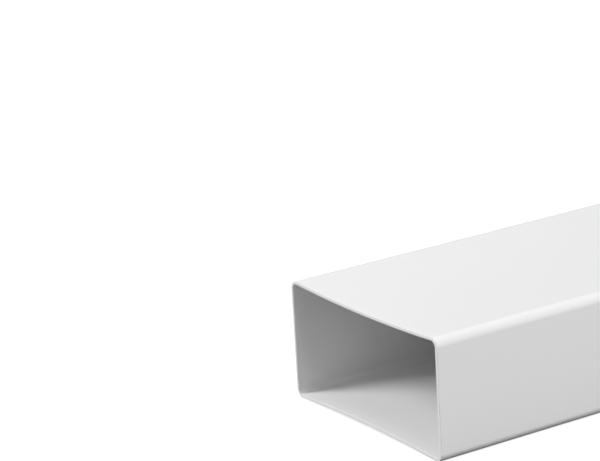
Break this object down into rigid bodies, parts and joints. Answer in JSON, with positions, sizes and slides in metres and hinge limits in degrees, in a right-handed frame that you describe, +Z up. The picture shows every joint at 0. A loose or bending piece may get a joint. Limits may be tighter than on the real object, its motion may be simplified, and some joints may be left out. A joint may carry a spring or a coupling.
{
  "type": "flat channel duct",
  "caption": "Straight length of flat rectangular air duct in white rigid PVC, open at both ends, with rounded corners and wide walls that bow slightly inwards.",
  "frame": {"origin": "on the floor under the middle of the duct, halfway along its length", "axes": "+Y along the duct, away from the end that faces the viewer; +X across its width; +Z up through its height, as it lies on a wide wall"},
  "size_m": [0.11, 1, 0.055],
  "materials": {
    "white_pvc": "satin"
  },
  "bodies": {
    "root": {"flat_duct": "white_pvc"}
  },
  "joints": []
}
